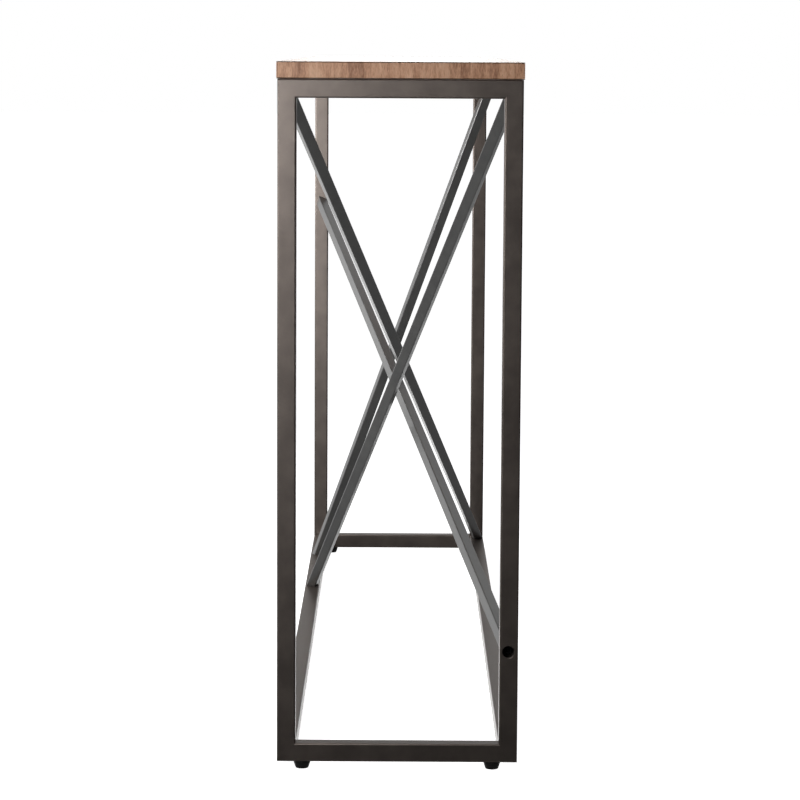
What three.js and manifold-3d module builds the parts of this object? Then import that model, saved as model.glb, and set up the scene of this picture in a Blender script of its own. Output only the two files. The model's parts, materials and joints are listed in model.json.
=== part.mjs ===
// Console table: a wood-faced board on a welded frame of square steel tube, braced by four
// thin square tubes that cross the frame at different angles, on four screw-in levelling feet.
// Millimetres, +Z up. X runs along the table, Y through its depth with the front at -Y.
// The origin is on the floor under the middle of the board.

import * as THREE from "three";
import { mergeVertices } from "three/addons/utils/BufferGeometryUtils.js";
import Module from "manifold-3d";

const wasm = await Module();
wasm.setup();

// ---- Driving dimensions -------------------------------------------------------------------

const FRAME_LENGTH = 1400;
const FRAME_DEPTH = 260;
const HEIGHT = 762;

const BOARD_THICKNESS = 18;
const BOARD_OVERHANG = 1;
const LAMINATE = 0.8;
const EDGE_BAND = 1;
const GLUE_LINE = 0.2;

const TUBE = 20;
const TUBE_WALL = 1.5;
const TUBE_CORNER = 1.8;
const FRAME_BOTTOM = 9;
const GAP = 0.3;

const BAR = 12.5;
const BAR_WALL = 1.2;
const BAR_CORNER = 1.3;
const BAR_SPARE = 60;

const PLUG_LENGTH = 26;
const PLUG_CORNER = 0.8;

const BOLT = { radius: 2.5, length: 6.5, headRadius: 4.25, headHeight: 5, key: 4, keyDepth: 2.5 };
const BOLT_HOLE = BOLT.radius + GAP;
const PLUG_HOLE_DEPTH = 5.5;
const ACCESS_HOLE = 6.5;

const SCREW = { radius: 2, length: 33, headRadius: 4, headHeight: 2.4, tip: 4, slot: 2.6 };
const SCREW_HOLE = SCREW.radius + GAP;
const SCREW_X = [-540, -180, 180, 540];

const FOOT_INSET = 27;
const FOOT = { topRadius: 9, bottomRadius: 7.3, rim: 2, flatRadius: 4.9, floorRound: 1.5 };
const STUD = { radius: 3, top: 25, headRadius: 5, headHeight: 2.4, seat: 3, chamfer: 0.7 };
const NUT = { acrossFlats: 10, height: 5 };

// How many flats stand for a full circle, by the kind of round part.
const FLATS = { pilotHole: 8, screw: 10, bolt: 12, stud: 12, foot: 20, keyHole: 20, hexagon: 6 };

// ---- Places worked out from them ----------------------------------------------------------

const boardLength = FRAME_LENGTH + 2 * BOARD_OVERHANG;
const boardDepth = FRAME_DEPTH + 2 * BOARD_OVERHANG;
const boardBottom = HEIGHT - BOARD_THICKNESS;
const frameTop = boardBottom - GAP;
const endX = (FRAME_LENGTH - TUBE) / 2;
const sideY = (FRAME_DEPTH - TUBE) / 2;
const topRailZ = frameTop - TUBE / 2;
const bottomRailZ = FRAME_BOTTOM + TUBE / 2;
const topRailUnderside = frameTop - TUBE;
const bottomRailUpperSide = FRAME_BOTTOM + TUBE;
const uprightInnerX = endX - TUBE / 2;
const footY = FRAME_DEPTH / 2 - FOOT_INSET;

const X_AXIS = new THREE.Vector3(1, 0, 0);
const Y_AXIS = new THREE.Vector3(0, 1, 0);
const Z_AXIS = new THREE.Vector3(0, 0, 1);

// Each bar runs from a high point to a low point on the faces that it is bolted to, and is
// turned about its own length by roll degrees. meets is the axis along which it is trimmed.
const BARS = [
  {
    name: "cross_bar_full_length",
    meets: "z",
    high: new THREE.Vector3(617, -119.5, topRailUnderside),
    low: new THREE.Vector3(-660, 121, bottomRailUpperSide),
    roll: 42,
  },
  {
    name: "cross_bar_two_thirds",
    meets: "z",
    high: new THREE.Vector3(598, sideY, topRailUnderside),
    low: new THREE.Vector3(-250, -sideY, bottomRailUpperSide),
    roll: 45,
  },
  {
    name: "cross_bar_end_to_end",
    meets: "x",
    high: new THREE.Vector3(-uprightInnerX, -sideY, 543),
    low: new THREE.Vector3(uprightInnerX, sideY, 130),
    roll: 15,
  },
  {
    name: "cross_bar_short",
    meets: "z",
    high: new THREE.Vector3(-205, sideY, topRailUnderside),
    low: new THREE.Vector3(-501, -sideY, bottomRailUpperSide),
    roll: 65,
  },
];

// ---- Materials ----------------------------------------------------------------------------

const LOOKS = {
  woodFace: { color: 0xa98a75, roughness: 0.55, metalness: 0 },
  boardCore: { color: 0xb08a5f, roughness: 0.85, metalness: 0 },
  frameCoat: { color: 0x5a534e, roughness: 0.42, metalness: 0.55 },
  barCoat: { color: 0x5c5c5d, roughness: 0.45, metalness: 0.6 },
  blackSteel: { color: 0x16161a, roughness: 0.38, metalness: 0.8 },
  zincSteel: { color: 0xb9bcc0, roughness: 0.35, metalness: 0.9 },
  blackNylon: { color: 0x141414, roughness: 0.55, metalness: 0 },
};

function material(look) {
  return new THREE.MeshStandardMaterial(LOOKS[look]);
}

// ---- Solids and booleans ------------------------------------------------------------------

function toSolid(geometry) {
  const bare = geometry.clone();
  bare.deleteAttribute("normal");
  bare.deleteAttribute("uv");
  const merged = mergeVertices(bare, 1e-4);
  return new wasm.Manifold(
    new wasm.Mesh({
      numProp: 3,
      vertProperties: new Float32Array(merged.attributes.position.array),
      triVerts: new Uint32Array(merged.index.array),
    }),
  );
}

function toGeometry(solid) {
  const { vertProperties, triVerts } = solid.getMesh();
  const geometry = new THREE.BufferGeometry();
  geometry.setAttribute("position", new THREE.BufferAttribute(vertProperties, 3));
  geometry.setIndex(new THREE.BufferAttribute(triVerts, 1));
  const flat = geometry.toNonIndexed();
  flat.computeVertexNormals();
  return flat;
}

// The first geometry with every one of the others taken out of it.
function cut(geometry, tools) {
  const solid = tools.reduce((left, tool) => left.subtract(toSolid(tool)), toSolid(geometry));
  return toGeometry(solid);
}

function keepInside(geometry, region) {
  return toGeometry(toSolid(geometry).intersect(toSolid(region)));
}

function box(sizeX, sizeY, sizeZ, centre) {
  return new THREE.BoxGeometry(sizeX, sizeY, sizeZ).translate(centre.x, centre.y, centre.z);
}

// A cylinder from one point to another.
function rod(radius, from, to, sides) {
  const along = to.clone().sub(from);
  const geometry = new THREE.CylinderGeometry(radius, radius, along.length(), sides);
  geometry.translate(0, along.length() / 2, 0);
  geometry.applyQuaternion(new THREE.Quaternion().setFromUnitVectors(Y_AXIS, along.normalize()));
  return geometry.translate(from.x, from.y, from.z);
}

// A lathe profile of [radius, height] points, turned about Z.
function turned(points, sides) {
  const profile = points.map(([radius, height]) => new THREE.Vector2(radius, height));
  return new THREE.LatheGeometry(profile, sides).rotateX(Math.PI / 2);
}

function addRoundedSquare(path, side, corner) {
  const reach = side / 2 - corner;
  path.absarc(reach, reach, corner, 0, Math.PI / 2);
  path.absarc(-reach, reach, corner, Math.PI / 2, Math.PI);
  path.absarc(-reach, -reach, corner, Math.PI, 1.5 * Math.PI);
  path.absarc(reach, -reach, corner, 1.5 * Math.PI, 2 * Math.PI);
  path.closePath();
  return path;
}

// A square section with rounded corners, extruded from z = start to z = end.
function squareStock(side, corner, wall, start, end) {
  const outline = addRoundedSquare(new THREE.Shape(), side, corner);
  if (wall > 0) {
    const innerCorner = Math.max(corner - wall, 0.4);
    outline.holes.push(addRoundedSquare(new THREE.Path(), side - 2 * wall, innerCorner));
  }
  const settings = { depth: end - start, bevelEnabled: false, curveSegments: 2 };
  return new THREE.ExtrudeGeometry(outline, settings).translate(0, 0, start);
}

function frameTube(length) {
  return squareStock(TUBE, TUBE_CORNER, TUBE_WALL, -length / 2, length / 2);
}

// ---- Board --------------------------------------------------------------------------------

const table = new THREE.Group();

function addMesh(name, geometry, look) {
  const mesh = new THREE.Mesh(geometry, material(look));
  mesh.name = name;
  table.add(mesh);
  return mesh;
}

const screwPlaces = [-1, 1].flatMap((side) =>
  SCREW_X.map((x) => new THREE.Vector3(x, side * sideY, 0)),
);

function screwHoles(places, bottom, top) {
  return places.map(({ x, y }) => {
    const from = new THREE.Vector3(x, y, bottom);
    const to = new THREE.Vector3(x, y, top);
    return rod(SCREW_HOLE, from, to, FLATS.pilotHole);
  });
}

function addBoard() {
  const edgeHeight = BOARD_THICKNESS - 2 * (LAMINATE + GLUE_LINE);
  const middle = boardBottom + BOARD_THICKNESS / 2;
  const inset = EDGE_BAND + GLUE_LINE;
  const coreLength = boardLength - 2 * inset;
  const coreDepth = boardDepth - 2 * inset;
  const pilotTop = topRailUnderside + SCREW.length;

  const core = box(coreLength, coreDepth, edgeHeight, new THREE.Vector3(0, 0, middle));
  const pilotHoles = screwHoles(screwPlaces, boardBottom - 1, pilotTop);
  addMesh("board_core", cut(core, pilotHoles), "boardCore");

  const topSkin = new THREE.Vector3(0, 0, HEIGHT - LAMINATE / 2);
  addMesh("board_top_laminate", box(boardLength, boardDepth, LAMINATE, topSkin), "woodFace");

  const lowSkin = new THREE.Vector3(0, 0, boardBottom + LAMINATE / 2);
  const backing = box(boardLength, boardDepth, LAMINATE, lowSkin);
  const throughHoles = screwHoles(screwPlaces, boardBottom - 1, boardBottom + LAMINATE + 1);
  addMesh("board_backing_laminate", cut(backing, throughHoles), "woodFace");

  // The long bands go on last, so they cover the ends of the short ones.
  for (const [name, side] of [["left", -1], ["right", 1]]) {
    const place = new THREE.Vector3((side * (boardLength - EDGE_BAND)) / 2, 0, middle);
    const band = box(EDGE_BAND, coreDepth, edgeHeight, place);
    addMesh(`board_${name}_edge_band`, band, "woodFace");
  }
  for (const [name, side] of [["front", -1], ["back", 1]]) {
    const place = new THREE.Vector3(0, (side * (boardDepth - EDGE_BAND)) / 2, middle);
    const band = box(boardLength, EDGE_BAND, edgeHeight, place);
    addMesh(`board_${name}_edge_band`, band, "woodFace");
  }
}

// ---- Bolted ends of the bars --------------------------------------------------------------

// Everything that one bolted end of a bar needs: the way out of the rail into the bar, and
// the point of the rail face where the bolt stands, so that it meets the bar's centre line
// halfway into the plug.
function boltedEnd(bar, which) {
  const end = which === "high" ? bar.high : bar.low;
  const other = which === "high" ? bar.low : bar.high;
  const normal = bar.meets === "x" ? X_AXIS.clone() : Z_AXIS.clone();
  const along = other.clone().sub(end).normalize();
  if (along.dot(normal) < 0) normal.negate();
  const half = PLUG_HOLE_DEPTH / 2;
  const seat = end
    .clone()
    .addScaledVector(along, half / along.dot(normal))
    .addScaledVector(normal, -half);
  return { end, along, normal, seat };
}

const boltedEnds = BARS.flatMap((bar) =>
  ["high", "low"].map((which) => ({ bar, which, ...boltedEnd(bar, which) })),
);

// A wide hole for the key in the rail's far wall, and a close one in the wall at the bar.
function boltHoles(place) {
  const far = place.seat.clone().addScaledVector(place.normal, -TUBE - 1);
  const inside = place.seat.clone().addScaledVector(place.normal, -TUBE + TUBE_WALL + 1);
  const out = place.seat.clone().addScaledVector(place.normal, 1);
  const centre = place.seat.clone().addScaledVector(place.normal, -TUBE / 2);
  return [
    rod(ACCESS_HOLE, far, inside, FLATS.keyHole),
    rod(BOLT_HOLE, centre, out, FLATS.bolt),
  ];
}

// The bolt holes of every bar end whose bolt stands inside the given box.
function boltHolesWithin(bounds) {
  return boltedEnds
    .filter(({ seat, normal }) =>
      bounds.containsPoint(seat.clone().addScaledVector(normal, -TUBE / 2)),
    )
    .flatMap(boltHoles);
}

// ---- Welded frame -------------------------------------------------------------------------

const MITRE_REACH = 2 * TUBE;

// A block that trims a tube of an end frame along the 45 degree weld line of one corner.
// way is 1 for the part beyond the line as seen from the upright, -1 as seen from the rail.
function mitreBlock(x, side, level, way) {
  const up = level === "top" ? 1 : -1;
  const corner = new THREE.Vector3(x, side * sideY, up > 0 ? topRailZ : bottomRailZ);
  const away = new THREE.Vector3(0, -side, up).normalize().multiplyScalar(way);
  const block = new THREE.BoxGeometry(MITRE_REACH, 2 * MITRE_REACH, 2 * MITRE_REACH);
  block.rotateX(Math.PI / 4);
  const centre = corner.addScaledVector(away, MITRE_REACH - GAP / 2);
  return block.translate(centre.x, centre.y, centre.z);
}

function addFrameTube(name, geometry, extraCuts = []) {
  geometry.computeBoundingBox();
  const cuts = [...extraCuts, ...boltHolesWithin(geometry.boundingBox)];
  addMesh(name, cuts.length ? cut(geometry, cuts) : geometry, "frameCoat");
}

function addEndFrame(endName, x) {
  const uprightLength = frameTop - FRAME_BOTTOM;
  for (const [sideName, side] of [["front", -1], ["back", 1]]) {
    const upright = frameTube(uprightLength);
    upright.translate(x, side * sideY, FRAME_BOTTOM + uprightLength / 2);
    const mitres = ["top", "bottom"].map((level) => mitreBlock(x, side, level, 1));
    addFrameTube(`${endName}_${sideName}_upright`, upright, mitres);
  }
  for (const [level, z] of [["top", topRailZ], ["bottom", bottomRailZ]]) {
    const rail = frameTube(FRAME_DEPTH).rotateX(Math.PI / 2).translate(x, 0, z);
    const cuts = [-1, 1].map((side) => mitreBlock(x, side, level, -1));
    if (level === "bottom") cuts.push(...[-1, 1].map((side) => studHole(x, side * footY)));
    addFrameTube(`${endName}_${level}_end_rail`, rail, cuts);
  }
}

function studHole(x, y) {
  const below = new THREE.Vector3(x, y, FRAME_BOTTOM - 1);
  const above = new THREE.Vector3(x, y, bottomRailZ);
  return rod(STUD.radius + 2 * GAP, below, above, FLATS.stud);
}

function addLongRails() {
  const length = 2 * (uprightInnerX - GAP);
  for (const [sideName, side] of [["front", -1], ["back", 1]]) {
    for (const [level, z] of [["top", topRailZ], ["bottom", bottomRailZ]]) {
      const rail = frameTube(length).rotateY(Math.PI / 2).translate(0, side * sideY, z);
      const places = screwPlaces.filter(({ y }) => level === "top" && y * side > 0);
      const holes = screwHoles(places, topRailUnderside - 1, frameTop + 1);
      addFrameTube(`${sideName}_${level}_long_rail`, rail, holes);
    }
  }
}

// ---- Cross bars ---------------------------------------------------------------------------

// Turns stock that was made along Z from the origin so that it starts at the bar's high end.
function layAlongBar(geometry, bar) {
  const along = bar.low.clone().sub(bar.high).normalize();
  const level = along.clone().cross(Z_AXIS).normalize();
  const upright = level.clone().cross(along);
  const turn = THREE.MathUtils.degToRad(bar.roll);
  const first = level.clone().multiplyScalar(Math.cos(turn));
  first.addScaledVector(upright, Math.sin(turn));
  const second = along.clone().cross(first);
  geometry.applyMatrix4(new THREE.Matrix4().makeBasis(first, second, along));
  return geometry.translate(bar.high.x, bar.high.y, bar.high.z);
}

// The space between the two faces that a bar stands on, less the gap at each.
function spaceForBar(bar) {
  if (bar.meets === "x") {
    const width = 2 * (uprightInnerX - GAP);
    return box(width, 2 * FRAME_DEPTH, 2 * HEIGHT, new THREE.Vector3());
  }
  const height = topRailUnderside - bottomRailUpperSide - 2 * GAP;
  const middle = (topRailUnderside + bottomRailUpperSide) / 2;
  return box(2 * FRAME_LENGTH, 2 * FRAME_DEPTH, height, new THREE.Vector3(0, 0, middle));
}

function addBar(bar) {
  const length = bar.high.distanceTo(bar.low);
  const stock = squareStock(BAR, BAR_CORNER, BAR_WALL, -BAR_SPARE, length + BAR_SPARE);
  addMesh(bar.name, keepInside(layAlongBar(stock, bar), spaceForBar(bar)), "barCoat");
}

// The threaded steel plug inside one end of a bar, cut off level with the bar's end.
function addPlug(place) {
  const { bar, which, seat, normal } = place;
  const length = bar.high.distanceTo(bar.low);
  const side = BAR - 2 * (BAR_WALL + GAP);
  const start = which === "high" ? -BAR_SPARE : length - PLUG_LENGTH;
  const end = which === "high" ? PLUG_LENGTH : length + BAR_SPARE;
  const stock = layAlongBar(squareStock(side, PLUG_CORNER, 0, start, end), bar);
  const trimmed = keepInside(stock, spaceForBar(bar));
  const outside = seat.clone().addScaledVector(normal, -1);
  const bottom = seat.clone().addScaledVector(normal, PLUG_HOLE_DEPTH);
  const drilled = cut(trimmed, [rod(BOLT_HOLE, outside, bottom, FLATS.bolt)]);
  addMesh(`${bar.name}_${which}_plug`, drilled, "zincSteel");
}

// A socket-head bolt that stands on the inside of the rail's wall, its key hole facing out.
function boltGeometry() {
  const { radius, length, headRadius, headHeight, key, keyDepth } = BOLT;
  const body = turned(
    [
      [0, -headHeight],
      [headRadius - 0.4, -headHeight],
      [headRadius, -headHeight + 0.4],
      [headRadius, 0],
      [radius, 0],
      [radius, length - 0.5],
      [radius - 0.5, length],
      [0, length],
    ],
    FLATS.bolt,
  );
  const keyRadius = key / Math.sqrt(3);
  const keyFrom = new THREE.Vector3(0, 0, -headHeight - 1);
  const keyTo = new THREE.Vector3(0, 0, -headHeight + keyDepth);
  return cut(body, [rod(keyRadius, keyFrom, keyTo, FLATS.hexagon)]);
}

function addBolt(place, geometry) {
  const { bar, which, seat, normal } = place;
  const bolt = addMesh(`${bar.name}_${which}_bolt`, geometry.clone(), "blackSteel");
  bolt.quaternion.setFromUnitVectors(Z_AXIS, normal);
  bolt.position.copy(seat).addScaledVector(normal, -TUBE_WALL - GAP);
}

// ---- Board screws -------------------------------------------------------------------------

// A pan-head wood screw, head down, driven up through the rail into the board.
function screwGeometry() {
  const { radius, length, headRadius, headHeight, tip, slot } = SCREW;
  const body = turned(
    [
      [0, -headHeight],
      [headRadius - 1.2, -headHeight],
      [headRadius - 0.3, -headHeight + 0.7],
      [headRadius, -0.6],
      [headRadius, 0],
      [radius, 0],
      [radius, length - tip],
      [0, length],
    ],
    FLATS.screw,
  );
  const depth = headHeight * 0.6;
  const recess = new THREE.Vector3(0, 0, -headHeight);
  return cut(body, [
    box(2 * slot, 0.9, 2 * depth, recess),
    box(0.9, 2 * slot, 2 * depth, recess),
  ]);
}

function addBoardScrews() {
  const geometry = screwGeometry();
  for (const [index, { x, y }] of screwPlaces.entries()) {
    const number = (index % SCREW_X.length) + 1;
    const rail = y < 0 ? "front" : "back";
    const screw = addMesh(`board_screw_${rail}_${number}`, geometry.clone(), "zincSteel");
    screw.position.set(x, y, topRailUnderside - GAP);
  }
}

// ---- Levelling feet -----------------------------------------------------------------------

function padGeometry() {
  const { topRadius, bottomRadius, rim, flatRadius, floorRound } = FOOT;
  const top = FRAME_BOTTOM - GAP;
  const bore = STUD.radius + GAP;
  const pocket = STUD.headRadius + GAP;
  const ceiling = STUD.seat + STUD.headHeight + GAP;
  const floor = STUD.seat - GAP;
  return turned(
    [
      [0, 0],
      [flatRadius, 0],
      [bottomRadius - 0.6, floorRound * 0.3],
      [bottomRadius, floorRound],
      [topRadius, top - rim],
      [topRadius, top - 0.4],
      [topRadius - 0.4, top],
      [bore, top],
      [bore, ceiling],
      [pocket, ceiling],
      [pocket, floor],
      [0, floor],
    ],
    FLATS.foot,
  );
}

function studGeometry() {
  const { radius, top, headRadius, headHeight, seat, chamfer } = STUD;
  return turned(
    [
      [0, seat],
      [headRadius, seat],
      [headRadius, seat + headHeight],
      [radius, seat + headHeight],
      [radius, top - chamfer],
      [radius - chamfer, top],
      [0, top],
    ],
    FLATS.stud,
  );
}

function nutGeometry() {
  const bottom = FRAME_BOTTOM + TUBE_WALL + GAP;
  const from = new THREE.Vector3(0, 0, bottom);
  const to = new THREE.Vector3(0, 0, bottom + NUT.height);
  const hexagon = rod(NUT.acrossFlats / Math.sqrt(3), from, to, FLATS.hexagon);
  const below = new THREE.Vector3(0, 0, bottom - 1);
  const above = new THREE.Vector3(0, 0, bottom + NUT.height + 1);
  return cut(hexagon, [rod(STUD.radius + GAP, below, above, FLATS.stud)]);
}

function addFeet() {
  const pieces = [
    ["foot_pad", padGeometry(), "blackNylon"],
    ["foot_stud", studGeometry(), "zincSteel"],
    ["foot_nut", nutGeometry(), "zincSteel"],
  ];
  for (const [endName, x] of [["left", -endX], ["right", endX]]) {
    for (const [sideName, y] of [["front", -footY], ["back", footY]]) {
      for (const [piece, geometry, look] of pieces) {
        const mesh = addMesh(`${piece}_${endName}_${sideName}`, geometry.clone(), look);
        mesh.position.set(x, y, 0);
      }
    }
  }
}

// ---- Assembly -----------------------------------------------------------------------------

addBoard();
addEndFrame("left", -endX);
addEndFrame("right", endX);
addLongRails();
BARS.forEach(addBar);
boltedEnds.forEach(addPlug);
const bolt = boltGeometry();
boltedEnds.forEach((place) => addBolt(place, bolt));
addBoardScrews();
addFeet();

export default table;
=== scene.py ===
import json
import math

import bmesh
import bpy
from mathutils import Matrix, Vector


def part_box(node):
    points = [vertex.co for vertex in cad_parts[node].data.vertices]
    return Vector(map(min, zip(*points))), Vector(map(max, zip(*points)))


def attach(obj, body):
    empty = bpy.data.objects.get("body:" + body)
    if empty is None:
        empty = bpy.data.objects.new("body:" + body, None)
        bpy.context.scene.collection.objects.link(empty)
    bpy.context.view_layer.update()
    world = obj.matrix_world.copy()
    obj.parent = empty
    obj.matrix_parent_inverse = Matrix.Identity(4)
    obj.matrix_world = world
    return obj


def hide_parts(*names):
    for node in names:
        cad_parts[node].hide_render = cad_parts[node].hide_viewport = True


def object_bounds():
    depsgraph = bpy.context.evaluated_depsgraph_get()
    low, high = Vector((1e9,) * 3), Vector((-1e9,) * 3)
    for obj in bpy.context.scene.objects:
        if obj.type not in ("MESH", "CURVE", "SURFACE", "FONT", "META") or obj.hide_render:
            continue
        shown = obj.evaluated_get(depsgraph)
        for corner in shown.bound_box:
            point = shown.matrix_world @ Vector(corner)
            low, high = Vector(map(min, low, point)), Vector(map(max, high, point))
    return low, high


# Console table: a wood-faced board on a welded frame of square steel tube, four thin square
# bars crossed through the frame, and four screw-in levelling feet. Metres, +Z up.

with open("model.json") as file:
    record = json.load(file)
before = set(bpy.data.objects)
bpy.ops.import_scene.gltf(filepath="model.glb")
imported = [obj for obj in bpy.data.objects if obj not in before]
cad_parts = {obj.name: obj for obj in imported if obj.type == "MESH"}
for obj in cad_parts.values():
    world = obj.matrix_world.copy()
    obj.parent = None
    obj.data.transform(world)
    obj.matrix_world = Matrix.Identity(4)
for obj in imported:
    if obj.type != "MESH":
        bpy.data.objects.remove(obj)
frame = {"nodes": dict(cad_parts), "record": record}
cad_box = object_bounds()

BODY_OF = {
    node: body
    for body, nodes in frame["record"]["behaviour"]["bodies"].items()
    for node in nodes
}

# ---- Sizes shared with the CAD ----

TUBE_CORNER_RADIUS = 0.0018
TUBE_WALL = 0.0015
BAR_SIDE = 0.0125
BAR_CORNER_RADIUS = 0.0013
BAR_WALL = 0.0012
BAR_GAP = 0.0003
KEY_HOLE_RADIUS = 0.0065
PLUG_HOLE_DEPTH = 0.0055
STUD_HOLE_RADIUS = 0.0036

# ---- Sizes of the details that only the finished table has ----

KEY_HOLE_RIM = 0.0005
SHEET_ARRIS = 0.0002
BAND_ARRIS = 0.00025
BOLT_ARRIS = 0.00035
SCREW_ARRIS = 0.00015
PAD_ARRIS = 0.0003
WELD_RADIUS = 0.0021
WELD_SIDES = 16
WELD_RUNGS = 28
WELD_RIPPLE = 0.00028
WELD_END_SCALE = 0.72
HOLE_STEPS = 48
CUT_MARGIN = 0.002
SLACK = 0.0001

X, Y, Z = Vector((1, 0, 0)), Vector((0, 1, 0)), Vector((0, 0, 1))

# Which way each name lies from the table's middle, on X, Y and Z.
ENDS = {"left": -1, "right": 1}
SIDES = {"front": -1, "back": 1}
LEVELS = {"top": 1, "bottom": -1}

# ---- Shader expressions ----


class Value:
    """A shader socket that takes part in ordinary arithmetic, adding its Math nodes."""

    def __init__(self, paint, socket):
        self.paint = paint
        self.socket = socket

    def __add__(self, other):
        return self.paint.math("ADD", self, other)

    def __sub__(self, other):
        return self.paint.math("SUBTRACT", self, other)

    def __mul__(self, other):
        return self.paint.math("MULTIPLY", self, other)

    def __rsub__(self, other):
        return self.paint.math("SUBTRACT", other, self)

    __radd__ = __add__
    __rmul__ = __mul__


class Paint:
    """The nodes of one material or of the world."""

    def __init__(self, owner):
        owner.use_nodes = True
        self.tree = owner.node_tree
        self.tree.nodes.clear()

    def feed(self, socket, value):
        if isinstance(value, Value):
            self.tree.links.new(value.socket, socket)
        else:
            socket.default_value = value

    def node(self, kind, inputs=(), output=0, stops=None, **settings):
        node = self.tree.nodes.new(kind)
        for name, value in settings.items():
            setattr(node, name, value)
        if stops:
            while len(node.color_ramp.elements) < len(stops):
                node.color_ramp.elements.new(0.5)
            for element, (position, colour) in zip(node.color_ramp.elements, stops):
                element.position = position
                element.color = colour
        for name, value in dict(inputs).items():
            self.feed(node.inputs[name], value)
        return Value(self, node.outputs[output])

    def math(self, operation, *values):
        return self.node("ShaderNodeMath", enumerate(values), operation=operation)

    def coordinates(self, scale=(1, 1, 1)):
        place = self.node("ShaderNodeTexCoord", output="Object")
        return self.node("ShaderNodeMapping", {"Vector": place, "Scale": scale})

    def noise(self, vector, scale=1.0, detail=2.0, rough=0.5, twist=0.0):
        inputs = {
            "Vector": vector,
            "Scale": scale,
            "Detail": detail,
            "Roughness": rough,
            "Distortion": twist,
        }
        return self.node("ShaderNodeTexNoise", inputs)

    def ramp(self, value, low, high):
        """0 where value is low or less, 1 where it is high or more, smooth between."""
        inputs = {"Value": value, "From Min": low, "From Max": high}
        return self.node("ShaderNodeMapRange", inputs, interpolation_type="SMOOTHSTEP")

    def mix(self, factor, first, second, blend="MIX"):
        inputs = {0: factor, 6: first, 7: second}
        return self.node("ShaderNodeMix", inputs, output=2, data_type="RGBA", blend_type=blend)

    def bump(self, height, strength, distance):
        inputs = {"Height": height, "Strength": strength, "Distance": distance}
        return self.node("ShaderNodeBump", inputs)


def rgb(red, green, blue):
    """A colour given as it is seen on a screen, from 0 to 255."""

    def linear(value):
        value = value / 255
        return value / 12.92 if value <= 0.04045 else ((value + 0.055) / 1.055) ** 2.4

    return (linear(red), linear(green), linear(blue), 1.0)


def finish(name, build, **settings):
    """A material whose Principled shader takes settings, and what build adds to it."""
    material = bpy.data.materials.new(name)
    paint = Paint(material)
    shader = paint.tree.nodes.new("ShaderNodeBsdfPrincipled")
    output = paint.tree.nodes.new("ShaderNodeOutputMaterial")
    paint.tree.links.new(shader.outputs[0], output.inputs[0])
    for socket, value in settings.items():
        shader.inputs[socket.replace("_", " ")].default_value = value
    for socket, value in build(paint).items():
        paint.feed(shader.inputs[socket], value)
    return material


# ---- Finishes ----


def coat(dark, light, base_rough):
    """Satin powder coat: cloudy tone, orange peel, and small specks in the coat."""

    def build(paint):
        cloud = paint.noise(paint.coordinates(), scale=38, detail=4, rough=0.55)
        patch = paint.noise(paint.coordinates(), scale=9, detail=2)
        tone = paint.ramp(cloud * 0.6 + patch * 0.4, 0.32, 0.68)
        peel = paint.noise(paint.coordinates(), scale=750, detail=3, rough=0.6)
        speck = paint.noise(paint.coordinates(), scale=2300, detail=1)
        glint = paint.ramp(speck, 0.66, 0.8)
        colour = paint.mix(tone, dark, light)
        bright = [channel * 1.7 for channel in light[:3]] + [1.0]
        return {
            "Base Color": paint.mix(glint * 0.35, colour, bright),
            "Roughness": base_rough + tone * 0.05 + (peel - 0.5) * 0.08 - glint * 0.06,
            "Normal": paint.bump(peel + speck * 0.25, 0.10, 0.0002),
        }

    return build


def grain(along, across, depth, light, mid, dark):
    """Printed wood grain. along, across and depth are its scales on X, Y and Z."""

    def build(paint):
        def stretched(factor):
            return paint.coordinates((along * factor, across * factor, depth * factor))

        drift = paint.noise(stretched(0.12), scale=1, detail=3, rough=0.55)
        band = paint.noise(stretched(0.35), scale=1, detail=5, rough=0.62, twist=0.6)
        streak = paint.noise(stretched(1.0), scale=1, detail=5, rough=0.65, twist=0.4)
        thread = paint.noise(stretched(2.6), scale=1, detail=3, rough=0.6)
        pore = paint.ramp(thread, 0.6, 0.72) * paint.ramp(band, 0.4, 0.6)
        depth_of_tone = drift * 0.25 + band * 0.3 + streak * 0.25 + thread * 0.2
        figure = paint.ramp(depth_of_tone, 0.38, 0.64)
        stops = [(0.0, dark), (0.45, mid), (1.0, light)]
        base = paint.node("ShaderNodeValToRGB", {"Fac": figure}, stops=stops)
        shade = [channel * 0.45 for channel in dark[:3]] + [1.0]
        lined = paint.mix(paint.ramp(streak, 0.5, 0.75) * 0.4, base, dark)
        return {
            "Base Color": paint.mix(pore * 0.55, lined, shade),
            "Roughness": 0.5 + pore * 0.18 - figure * 0.06,
            "Normal": paint.bump(streak * 0.5 - pore, 0.12, 0.0002),
        }

    return build


def kraft_edge(paint):
    """The cut edge of a laminate sheet: dark resin paper in thin layers."""
    layer = paint.noise(paint.coordinates((8, 8, 9000)), scale=1, detail=2)
    chip = paint.noise(paint.coordinates(), scale=900, detail=3)
    colour = paint.mix(paint.ramp(layer, 0.4, 0.6), rgb(74, 56, 44), rgb(104, 84, 68))
    return {
        "Base Color": paint.mix(paint.ramp(chip, 0.55, 0.75) * 0.5, colour, rgb(134, 112, 94)),
        "Roughness": 0.55 + chip * 0.2,
        "Normal": paint.bump(chip, 0.2, 0.0001),
    }


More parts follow.
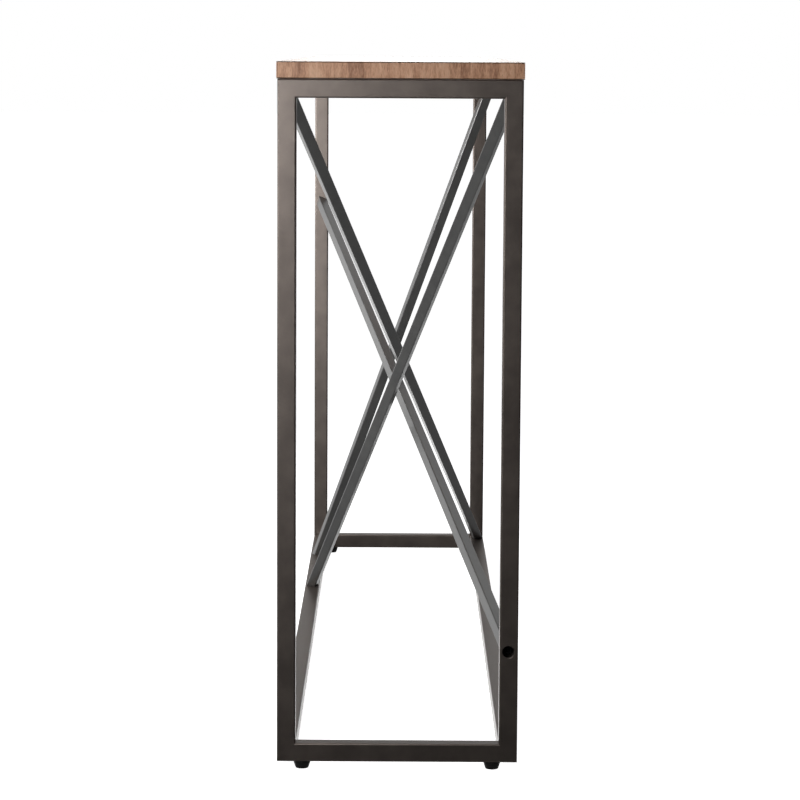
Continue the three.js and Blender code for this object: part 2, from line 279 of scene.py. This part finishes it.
def pressed_chips(paint):
    """Particle board: pale flakes of different tones, pressed flat."""
    place = paint.coordinates((260, 260, 620))
    inputs = {"Vector": place, "Scale": 1.0}
    flake = paint.node("ShaderNodeTexVoronoi", inputs, output="Color")
    edge = paint.node(
        "ShaderNodeTexVoronoi", inputs, output="Distance", feature="DISTANCE_TO_EDGE"
    )
    tone = paint.node("ShaderNodeSeparateColor", {"Color": flake}, output=0)
    fibre = paint.noise(paint.coordinates((900, 900, 2400)), scale=1, detail=3)
    colour = paint.mix(tone, rgb(150, 118, 82), rgb(206, 178, 138))
    seam = 1 - paint.ramp(edge, 0.0, 0.08)
    return {
        "Base Color": paint.mix(seam * 0.6, colour, rgb(96, 72, 48)),
        "Roughness": 0.78 + fibre * 0.15,
        "Normal": paint.bump(fibre - seam * 0.8, 0.35, 0.0004),
    }


def black_oxide(paint):
    """Blackened steel: nearly black, with rubbed lighter marks."""
    cloud = paint.noise(paint.coordinates(), scale=420, detail=4, rough=0.6)
    rub = paint.noise(paint.coordinates((2400, 2400, 300)), scale=1, detail=2)
    worn = paint.ramp(cloud * 0.6 + rub * 0.4, 0.54, 0.72)
    return {
        "Base Color": paint.mix(worn, rgb(34, 34, 36), rgb(104, 103, 104)),
        "Roughness": 0.34 + cloud * 0.18,
        "Normal": paint.bump(rub, 0.08, 0.0001),
    }


def zinc_plate(paint):
    """Zinc-plated steel: pale blue-grey with turned marks and dull spots."""
    turned = paint.noise(paint.coordinates((300, 300, 4200)), scale=1, detail=3)
    spot = paint.noise(paint.coordinates(), scale=260, detail=4, rough=0.6)
    dull = paint.ramp(spot, 0.48, 0.66)
    return {
        "Base Color": paint.mix(dull, rgb(196, 200, 205), rgb(150, 152, 150)),
        "Roughness": 0.26 + dull * 0.2 + turned * 0.08,
        "Normal": paint.bump(turned, 0.08, 0.0001),
    }


def moulded_nylon(paint):
    """Black moulded nylon: a fine matt texture with faint flow marks."""
    texture = paint.noise(paint.coordinates(), scale=1900, detail=3, rough=0.6)
    flow = paint.noise(paint.coordinates((60, 60, 300)), scale=1, detail=3)
    return {
        "Base Color": paint.mix(flow, rgb(13, 13, 13), rgb(30, 30, 30)),
        "Roughness": 0.42 + texture * 0.16,
        "Normal": paint.bump(texture, 0.14, 0.0001),
    }


WOOD_LIGHT = rgb(222, 179, 147)
WOOD_MID = rgb(193, 145, 113)
WOOD_DARK = rgb(138, 94, 68)

FRAME_COAT = finish(
    "frame_coat",
    coat(rgb(104, 96, 91), rgb(117, 108, 102), 0.33),
    Metallic=0.72,
)
BAR_COAT = finish(
    "bar_coat",
    coat(rgb(123, 123, 123), rgb(136, 136, 135), 0.33),
    Metallic=0.72,
)
WOOD_TOP = finish(
    "wood_laminate_top",
    grain(14, 300, 300, WOOD_LIGHT, WOOD_MID, WOOD_DARK),
    Coat_Weight=0.5,
    Coat_Roughness=0.12,
)
WOOD_SIDE = finish("wood_laminate_side", grain(14, 300, 420, WOOD_LIGHT, WOOD_MID, WOOD_DARK))
WOOD_END = finish("wood_laminate_end", grain(300, 460, 85, WOOD_LIGHT, WOOD_MID, WOOD_DARK))
LAMINATE_EDGE = finish("laminate_cut_edge", kraft_edge)
BOARD_CORE = finish("board_core", pressed_chips)
BLACK_BOLT = finish("black_bolt", black_oxide, Metallic=0.85)
ZINC_STEEL = finish("zinc_steel", zinc_plate, Metallic=1.0)
FOOT_NYLON = finish("foot_nylon", moulded_nylon)

# ---- Mesh helpers ----


def spun(profile, steps):
    """A profile of (radius, height) points from axis to axis, turned about Z."""
    bm = bmesh.new()
    points = [bm.verts.new((radius, 0, height)) for radius, height in profile]
    edges = [bm.edges.new(pair) for pair in zip(points, points[1:])]
    bmesh.ops.spin(
        bm,
        geom=points + edges,
        cent=(0, 0, 0),
        axis=Z,
        angle=2 * math.pi,
        steps=steps,
        use_merge=True,
    )
    bmesh.ops.remove_doubles(bm, verts=bm.verts, dist=1e-7)
    bmesh.ops.recalc_face_normals(bm, faces=bm.faces)
    return bm


def ease(bm, offset, segments, sharper_than=30):
    """Rounds every edge that is sharper than an angle in degrees."""
    limit = math.radians(sharper_than)
    edges = [e for e in bm.edges if len(e.link_faces) == 2 and e.calc_face_angle(0) > limit]
    bmesh.ops.bevel(
        bm,
        geom=edges,
        offset=offset,
        offset_type="OFFSET",
        segments=segments,
        profile=0.5,
        affect="EDGES",
        clamp_overlap=True,
        material=-1,
    )


def block(low, high):
    """A plain block between two corners."""
    bm = bmesh.new()
    size = high - low
    shape = Matrix.Translation((low + high) / 2) @ Matrix.Diagonal((*size, 1))
    bmesh.ops.create_cube(bm, size=1, matrix=shape)
    return bm


def rod(radius, length, sides):
    """A rod along Z, centred on the origin."""
    bm = bmesh.new()
    bmesh.ops.create_cone(
        bm,
        cap_ends=True,
        cap_tris=False,
        segments=sides,
        radius1=radius,
        radius2=radius,
        depth=length,
    )
    return bm


def placed(bm, origin, direction):
    """Turns a bmesh made along Z so that it points along direction from origin."""
    turn = Z.rotation_difference(direction).to_matrix().to_4x4()
    bmesh.ops.transform(bm, matrix=Matrix.Translation(origin) @ turn, verts=bm.verts)
    return bm


def hollow_bar(side, corner, wall, placement, ends):
    """A square tube made along Z and placed, its ends on the planes (point, outward normal)."""
    bm = bmesh.new()
    bmesh.ops.create_grid(bm, x_segments=1, y_segments=1, size=side / 2)
    bmesh.ops.bevel(
        bm,
        geom=bm.verts[:],
        offset=corner,
        offset_type="OFFSET",
        segments=6,
        profile=0.5,
        affect="VERTICES",
        material=-1,
    )
    ring = bmesh.ops.inset_region(
        bm, faces=bm.faces[:], thickness=wall, use_boundary=True, use_even_offset=True
    )["faces"]
    middle = [face for face in bm.faces if face not in ring]
    bmesh.ops.delete(bm, geom=middle, context="FACES")
    far = bmesh.ops.extrude_face_region(bm, geom=ring)["geom"]
    far = {v for v in far if isinstance(v, bmesh.types.BMVert)}
    local = placement.inverted()
    for point, normal in ends:
        point = local @ point
        normal = local.to_3x3() @ normal
        for v in bm.verts:
            if (v in far) == (normal.z > 0):
                lean = (v.co.x - point.x) * normal.x + (v.co.y - point.y) * normal.y
                v.co.z = point.z - lean / normal.z
    bmesh.ops.transform(bm, matrix=placement, verts=bm.verts)
    bmesh.ops.recalc_face_normals(bm, faces=bm.faces)
    return bm


def made(bm, name):
    """A mesh object at the origin from a bmesh, smooth except at its sharp edges."""
    for face in bm.faces:
        face.smooth = True
    mesh = bpy.data.meshes.new(name)
    bm.to_mesh(mesh)
    bm.free()
    mesh.set_sharp_from_angle(angle=math.radians(40))
    thing = bpy.data.objects.new(name, mesh)
    bpy.context.scene.collection.objects.link(thing)
    return thing


def drill(thing, cutters):
    """Takes each cutter out of the object and removes the cutters."""
    bpy.context.view_layer.objects.active = thing
    for cutter in [made(bm, "cutter") for bm in cutters]:
        hole = thing.modifiers.new("hole", "BOOLEAN")
        hole.operation = "DIFFERENCE"
        hole.solver = "EXACT"
        hole.object = cutter
        bpy.ops.object.modifier_apply(modifier=hole.name)
        bpy.data.objects.remove(cutter)


def piece(bm, node, ending, finishes, cutters=()):
    """Finishes a bmesh as the piece that stands for a CAD node."""
    thing = made(bm, f"{node}_{ending}")
    drill(thing, cutters)
    for material in finishes:
        thing.data.materials.append(material)
    shading = thing.modifiers.new("even_faces", "WEIGHTED_NORMAL")
    shading.keep_sharp = True
    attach(thing, BODY_OF[node])
    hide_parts(node)
    return thing


# ---- Board ----


def laminate(node):
    """A laminate sheet: wood on its faces, the cut resin paper on its edges."""
    low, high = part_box(node)
    bm = block(low, high)
    ease(bm, SHEET_ARRIS, 2)
    for face in bm.faces:
        face.material_index = int(abs(face.normal.z) < 0.5)
    piece(bm, node, "sheet", [WOOD_TOP, LAMINATE_EDGE])


def edge_band(node, face_finish):
    low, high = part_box(node)
    bm = block(low, high)
    ease(bm, BAND_ARRIS, 2)
    piece(bm, node, "strip", [face_finish])


laminate("board_top_laminate")
laminate("board_backing_laminate")
for end in ENDS:
    edge_band(f"board_{end}_edge_band", WOOD_END)
for side in SIDES:
    edge_band(f"board_{side}_edge_band", WOOD_SIDE)

# ---- Bars and the places of their bolts ----

# name: normal of the faces it ends on, high end, low end, turn about its length in degrees
BARS = {
    "full_length": (Z, (0.617, -0.1195, 0.7237), (-0.660, 0.121, 0.029), 42),
    "two_thirds": (Z, (0.598, 0.120, 0.7237), (-0.250, -0.120, 0.029), 45),
    "end_to_end": (X, (-0.680, -0.120, 0.543), (0.680, 0.120, 0.130), 15),
    "short": (Z, (-0.205, 0.120, 0.7237), (-0.501, -0.120, 0.029), 65),
}


def bar_matrix(high, low, roll):
    """Places a bar made along Z so that it runs from high to low, turned by roll."""
    along = (low - high).normalized()
    level = along.cross(Z).normalized()
    upright = level.cross(along)
    turn = math.radians(roll)
    first = level * math.cos(turn) + upright * math.sin(turn)
    second = along.cross(first)
    basis = Matrix((first, second, along)).transposed().to_4x4()
    return Matrix.Translation((high + low) / 2) @ basis


# Each bolt's place: where its head sits on the face that the bar ends on, and its direction.
bolt_places = {}
for name, (faces, high, low, roll) in BARS.items():
    high, low = Vector(high), Vector(low)
    ends = []
    for which, end, other in (("high", high, low), ("low", low, high)):
        along = (other - end).normalized()
        outward = -faces if along.dot(faces) > 0 else faces.copy()
        ends.append((end - outward * BAR_GAP, outward))
        half = PLUG_HOLE_DEPTH / 2
        seat = end + along * (half / along.dot(-outward)) + outward * half
        bolt_places[f"cross_bar_{name}_{which}_bolt"] = (seat, -outward)
    bm = hollow_bar(BAR_SIDE, BAR_CORNER_RADIUS, BAR_WALL, bar_matrix(high, low, roll), ends)
    piece(bm, f"cross_bar_{name}", "tube", [BAR_COAT])

# ---- Welded frame ----


def middle_of(node):
    low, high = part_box(node)
    return (low + high) / 2


def key_holes_in(node):
    """Cutters for the key holes in the outer wall of a frame tube, and for their rims."""
    low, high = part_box(node)
    side = min(high - low)
    hole_length = 2 * TUBE_WALL + CUT_MARGIN
    rim_profile = [
        (0, -KEY_HOLE_RIM),
        (KEY_HOLE_RADIUS + 2 * KEY_HOLE_RIM, -KEY_HOLE_RIM),
        (KEY_HOLE_RADIUS, KEY_HOLE_RIM),
        (0, KEY_HOLE_RIM),
    ]
    cutters = []
    for seat, inward in bolt_places.values():
        middle = seat - inward * side / 2
        if all(low[i] - SLACK < middle[i] < high[i] + SLACK for i in range(3)):
            outer = seat - inward * side
            hole = rod(KEY_HOLE_RADIUS, hole_length, HOLE_STEPS)
            rim = spun(rim_profile, HOLE_STEPS)
            cutters += [placed(hole, outer, inward), placed(rim, outer, inward)]
    return cutters


def frame_tube(node, ends, cutters=()):
    """A square tube in a CAD node's place, its ends on the planes (point, outward normal)."""
    low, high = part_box(node)
    size = high - low
    length = max(size)
    along = [X, Y, Z][list(size).index(length)]
    side = min(size)
    turn = Z.rotation_difference(along).to_matrix().to_4x4()
    placement = Matrix.Translation((low + high) / 2) @ turn
    bm = hollow_bar(side, TUBE_CORNER_RADIUS, TUBE_WALL, placement, ends)
    piece(bm, node, "tube", [FRAME_COAT], [*key_holes_in(node), *cutters])


def mitre(end, side, level, way):
    """The weld plane of one corner; way is 1 for the upright and -1 for the rail."""
    rail = middle_of(f"{end}_{level}_end_rail")
    upright = middle_of(f"{end}_{side}_upright")
    outward = Vector((0, -SIDES[side], LEVELS[level])) * way
    return Vector((rail.x, upright.y, rail.z)), outward.normalized()


for end in ENDS:
    for side in SIDES:
        planes = [mitre(end, side, level, 1) for level in LEVELS]
        frame_tube(f"{end}_{side}_upright", planes)
    for level in LEVELS:
        node = f"{end}_{level}_end_rail"
        cutters = []
        if level == "bottom":
            for side in SIDES:
                foot = middle_of(f"foot_stud_{end}_{side}")
                foot.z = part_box(node)[0].z
                cutters.append(placed(rod(STUD_HOLE_RADIUS, 4 * TUBE_WALL, 32), foot, Z))
        frame_tube(node, [mitre(end, side, level, -1) for side in SIDES], cutters)

inner_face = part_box("right_front_upright")[0].x
for side in SIDES:
    for level in LEVELS:
        ends = [(X * inner_face, X), (-X * inner_face, -X)]
        frame_tube(f"{side}_{level}_long_rail", ends)


def weld_bead(name, start, stop):
    """A rippled fillet weld that fills an inner corner from start to stop."""
    run = stop - start
    bm = rod(WELD_RADIUS, run.length, WELD_SIDES)
    sides = [e for e in bm.edges if abs(e.verts[0].co.z - e.verts[1].co.z) > run.length / 2]
    bmesh.ops.subdivide_edges(bm, edges=sides, cuts=WELD_RUNGS - 1, use_grid_fill=True)
    rows = {}
    for v in bm.verts:
        rows.setdefault(round(v.co.z / run.length * WELD_RUNGS), []).append(v)
    for row, verts in rows.items():
        swell = 1 + WELD_RIPPLE / WELD_RADIUS * math.cos(row * math.pi / 2)
        if abs(row) == WELD_RUNGS // 2:
            swell *= WELD_END_SCALE
        bmesh.ops.scale(bm, vec=(swell, swell, 1), verts=verts)
    thing = made(placed(bm, (start + stop) / 2, run), name)
    thing.data.materials.append(FRAME_COAT)
    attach(thing, "table")


for end, way in ENDS.items():
    for side, out in SIDES.items():
        for level, up in LEVELS.items():
            low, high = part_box(f"{side}_{level}_long_rail")
            inner_y = high.y if side == "front" else low.y
            inner_z = low.z if level == "top" else high.z
            corner = Vector((way * inner_face, inner_y, inner_z))
            reach = (high.z - low.z) - TUBE_CORNER_RADIUS
            for joint, toward in (("upright", Y * out), ("rail", Z * up)):
                start = corner + toward * TUBE_CORNER_RADIUS
                weld_bead(f"weld_{end}_{side}_{level}_{joint}", start, corner + toward * reach)

# ---- Bolts, screws and feet ----

# Each profile is (radius, height) from the axis out and back to it.
# A bolt's head seat and a screw's head seat are at height 0.
BOLT_PROFILE = [
    (0, -0.005),
    (0.00425, -0.005),
    (0.00425, 0),
    (0.0025, 0),
    (0.0025, 0.0065),
    (0, 0.0065),
]
SOCKET_WIDTH = 0.004
SOCKET_LENGTH = 0.005
SCREW_HEAD_HEIGHT = 0.0024
SCREW_PROFILE = [
    (0, -SCREW_HEAD_HEIGHT),
    (0.0026, -SCREW_HEAD_HEIGHT),
    (0.0037, -0.0017),
    (0.004, -0.0008),
    (0.004, 0),
    (0.002, 0),
    (0.002, 0.029),
    (0, 0.033),
]
RECESS_LENGTH, RECESS_WIDTH, RECESS_HEIGHT = 0.0052, 0.0009, 0.0029
PAD_PROFILE = [
    (0, 0),
    (0.0049, 0),
    (0.0067, 0.00045),
    (0.0073, 0.0015),
    (0.009, 0.0067),
    (0.009, 0.0087),
    (0.0033, 0.0087),
    (0.0033, 0.0057),
    (0.0053, 0.0057),
    (0.0053, 0.0027),
    (0, 0.0027),
]
STUD_PROFILE = [
    (0, 0.003),
    (0.005, 0.003),
    (0.005, 0.0054),
    (0.00255, 0.0054),
    (0.00255, 0.0245),
    (0.0022, 0.025),
    (0, 0.025),
]
THREAD_RIDGE = [(0.0024, 0, 0.0062), (0.003, 0, 0.0066), (0.0024, 0, 0.007)]
THREAD_PITCH = 0.001
THREAD_TURNS = 17
THREAD_STEPS = 16


def under(node):
    """The point at the middle of a node's lowest level."""
    low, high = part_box(node)
    return Vector(((low.x + high.x) / 2, (low.y + high.y) / 2, low.z))


for node, (seat, inward) in bolt_places.items():
    origin = seat - inward * (TUBE_WALL + BAR_GAP)
    bm = spun(BOLT_PROFILE, 48)
    ease(bm, BOLT_ARRIS, 3)
    key = rod(SOCKET_WIDTH / math.sqrt(3), SOCKET_LENGTH, 6)
    bmesh.ops.translate(key, verts=key.verts, vec=(0, 0, BOLT_PROFILE[0][1]))
    cutters = [placed(key, origin, inward)]
    piece(placed(bm, origin, inward), node, "turned", [BLACK_BOLT], cutters)

for side in SIDES:
    for number in range(1, 5):
        node = f"board_screw_{side}_{number}"
        head = under(node)
        cutters = []
        for width, depth in ((RECESS_LENGTH, RECESS_WIDTH), (RECESS_WIDTH, RECESS_LENGTH)):
            half = Vector((width, depth, RECESS_HEIGHT)) / 2
            cutters.append(block(head - half, head + half))
        bm = spun(SCREW_PROFILE, 32)
        ease(bm, SCREW_ARRIS, 2)
        bm = placed(bm, head + Z * SCREW_HEAD_HEIGHT, Z)
        piece(bm, node, "turned", [ZINC_STEEL], cutters)


def threaded_stud():
    """A stud with a collar at its foot and a helical ridge along its shank."""
    bm = spun(STUD_PROFILE, 32)
    ridge = [bm.verts.new(point) for point in THREAD_RIDGE]
    sides = [bm.edges.new(pair) for pair in zip(ridge, ridge[1:] + ridge[:1])]
    bmesh.ops.spin(
        bm,
        geom=ridge + sides,
        cent=(0, 0, 0),
        axis=Z,
        dvec=(0, 0, THREAD_PITCH / THREAD_STEPS),
        angle=2 * math.pi * THREAD_TURNS,
        steps=THREAD_TURNS * THREAD_STEPS,
        use_merge=False,
    )
    open_edges = [e for e in bm.edges if e.is_boundary]
    bmesh.ops.holes_fill(bm, edges=open_edges, sides=4)
    bmesh.ops.recalc_face_normals(bm, faces=bm.faces)
    return bm


for end in ENDS:
    for side in SIDES:
        base = under(f"foot_pad_{end}_{side}")
        bm = spun(PAD_PROFILE, 64)
        ease(bm, PAD_ARRIS, 3, 25)
        node = f"foot_pad_{end}_{side}"
        piece(placed(bm, base, Z), node, "glide", [FOOT_NYLON])
        node = f"foot_stud_{end}_{side}"
        piece(placed(threaded_stud(), base, Z), node, "threaded", [ZINC_STEEL])

# ---- CAD nodes that stay ----

KEPT = {
    "board_core": BOARD_CORE,
    **{f"cross_bar_{bar}_{which}_plug": ZINC_STEEL for bar in BARS for which in ("high", "low")},
    **{f"foot_nut_{end}_{side}": ZINC_STEEL for end in ENDS for side in SIDES},
}
for node, material in KEPT.items():
    for slot in frame["nodes"][node].material_slots:
        slot.material = material

# ---- Floor, lights and camera ----


def soft_white(paint):
    mottle = paint.noise(paint.coordinates(), scale=3, detail=2)
    return {"Base Color": paint.mix(mottle, rgb(250, 250, 250), rgb(253, 253, 253))}


WHITE = (1, 1, 1, 1)
FLOOR = finish(
    "pale_floor", soft_white, Roughness=0.9, Emission_Color=WHITE, Emission_Strength=0.98
)
bm = bmesh.new()
bmesh.ops.create_grid(bm, x_segments=1, y_segments=1, size=30)
floor = made(bm, "floor")
floor.data.materials.append(FLOOR)
floor.location.z = cad_box[0].z
floor.visible_glossy = False
floor.visible_diffuse = False

world = bpy.data.worlds.new("studio")
bpy.context.scene.world = world
sky = Paint(world)
direction = sky.node("ShaderNodeTexCoord", output="Generated")
seen = sky.node("ShaderNodeLightPath", output="Is Camera Ray")

# A soft patch of the room in each direction: direction, where it starts and is full, strength.
ROOM = {
    "backdrop": ((-0.83, -0.5, -0.2), 0.84, 0.95, 0.87),
    "backdrop_high": ((-0.84, 0.2, 0.5), 0.7, 1.0, 0.5),
    "horizon": ((-1, 0, 0), 0.998, 0.9995, 4.0),
    "floor_far": ((-1, 0.03, -0.3), 0.955, 0.985, 2.2),
    "floor_middle": ((0.3, 0.2, -0.95), 0.5, 1.0, 0.13),
    "floor_left": ((-0.3, -0.62, -0.72), 0.5, 1.0, 0.19),
    "floor_right": ((-0.6, 0.48, -0.63), 0.5, 1.0, 0.17),
    "all_round": ((0, 0, 1), -3.0, -2.0, 0.01),
}
room = 0.0
for patch_direction, start, full, strength in ROOM.values():
    patch_direction = Vector(patch_direction).normalized()
    inputs = {0: direction, 1: patch_direction}
    facing = sky.node("ShaderNodeVectorMath", inputs, output="Value", operation="DOT_PRODUCT")
    room = sky.ramp(facing, start, full) * strength + room
strength = seen + (1 - seen) * room
background = sky.node("ShaderNodeBackground", {"Color": WHITE, "Strength": strength})
output = sky.tree.nodes.new("ShaderNodeOutputWorld")
sky.tree.links.new(background.socket, output.inputs[0])

# name: place, the point that it faces, width, height, power in watts
LIGHTS = {
    "left_strip": ((0.3, -0.60, 0.60), (0.0, 0.0, 0.4), 1.6, 0.25, 2),
    "far_key": ((-0.3, -0.50, 0.62), (-0.70, -0.10, 0.60), 0.3, 0.2, 3.3),
    "far_fill": ((0.2, -0.45, 0.45), (-0.70, -0.10, 0.40), 0.4, 0.5, 2),
    "overhead": ((0.3, -0.3, 2.2), (0.0, 0.0, 0.7), 1.8, 1.2, 15),
    "upper_key": ((1.7, -0.40, 0.80), (0.70, -0.10, 0.60), 0.3, 0.3, 3.7),
    "middle_key": ((1.5, -0.30, 0.45), (0.70, -0.13, 0.45), 0.12, 0.5, 0.44),
    "lower_key": ((2.2, -0.60, 0.20), (0.70, -0.10, 0.30), 0.3, 0.4, 0.75),
    "front_top": ((1.7, -0.15, 1.8), (0.70, 0.0, 0.2), 0.5, 0.3, 1.5),
    "rim_light": ((1.1, -1.45, 1.30), (0.70, 0.12, 0.13), 0.45, 0.45, 3.5),
    "bolt_light": ((3.0, -0.7, 1.3), (0.70, 0.12, 0.13), 0.15, 0.15, 4),
}
for name, (place, target, width, height, power) in LIGHTS.items():
    lamp = bpy.data.lights.new(name, "AREA")
    lamp.shape = "RECTANGLE"
    lamp.size = width
    lamp.size_y = height
    lamp.energy = power
    light = bpy.data.objects.new(name, lamp)
    light.location = place
    light.rotation_mode = "QUATERNION"
    light.rotation_quaternion = (Vector(target) - Vector(place)).to_track_quat("-Z", "Y")
    light.visible_camera = False
    bpy.context.scene.collection.objects.link(light)

# Angles in radians, lens and sensor in millimetres.
CAMERA_PLACE = Vector((3.8431, 0.0012, 0.7792))
CAMERA_PITCH = 0.118912
CAMERA_ROLL = 0.0057
CAMERA_LENS = 133.56
CAMERA_SENSOR = 36

forward = Vector((-math.cos(CAMERA_PITCH), 0, -math.sin(CAMERA_PITCH)))
across = forward.cross(Z).normalized()
upward = across.cross(forward)
cam_x = across * math.cos(CAMERA_ROLL) + upward * math.sin(CAMERA_ROLL)
cam_y = upward * math.cos(CAMERA_ROLL) - across * math.sin(CAMERA_ROLL)
camera = bpy.data.objects.new("camera", bpy.data.cameras.new("camera"))
camera.data.lens = CAMERA_LENS
camera.data.sensor_width = CAMERA_SENSOR
turn = Matrix((cam_x, cam_y, -forward)).transposed().to_4x4()
camera.matrix_world = Matrix.Translation(CAMERA_PLACE) @ turn
bpy.context.scene.collection.objects.link(camera)
bpy.context.scene.camera = camera
bpy.context.scene.view_settings.view_transform = "Standard"
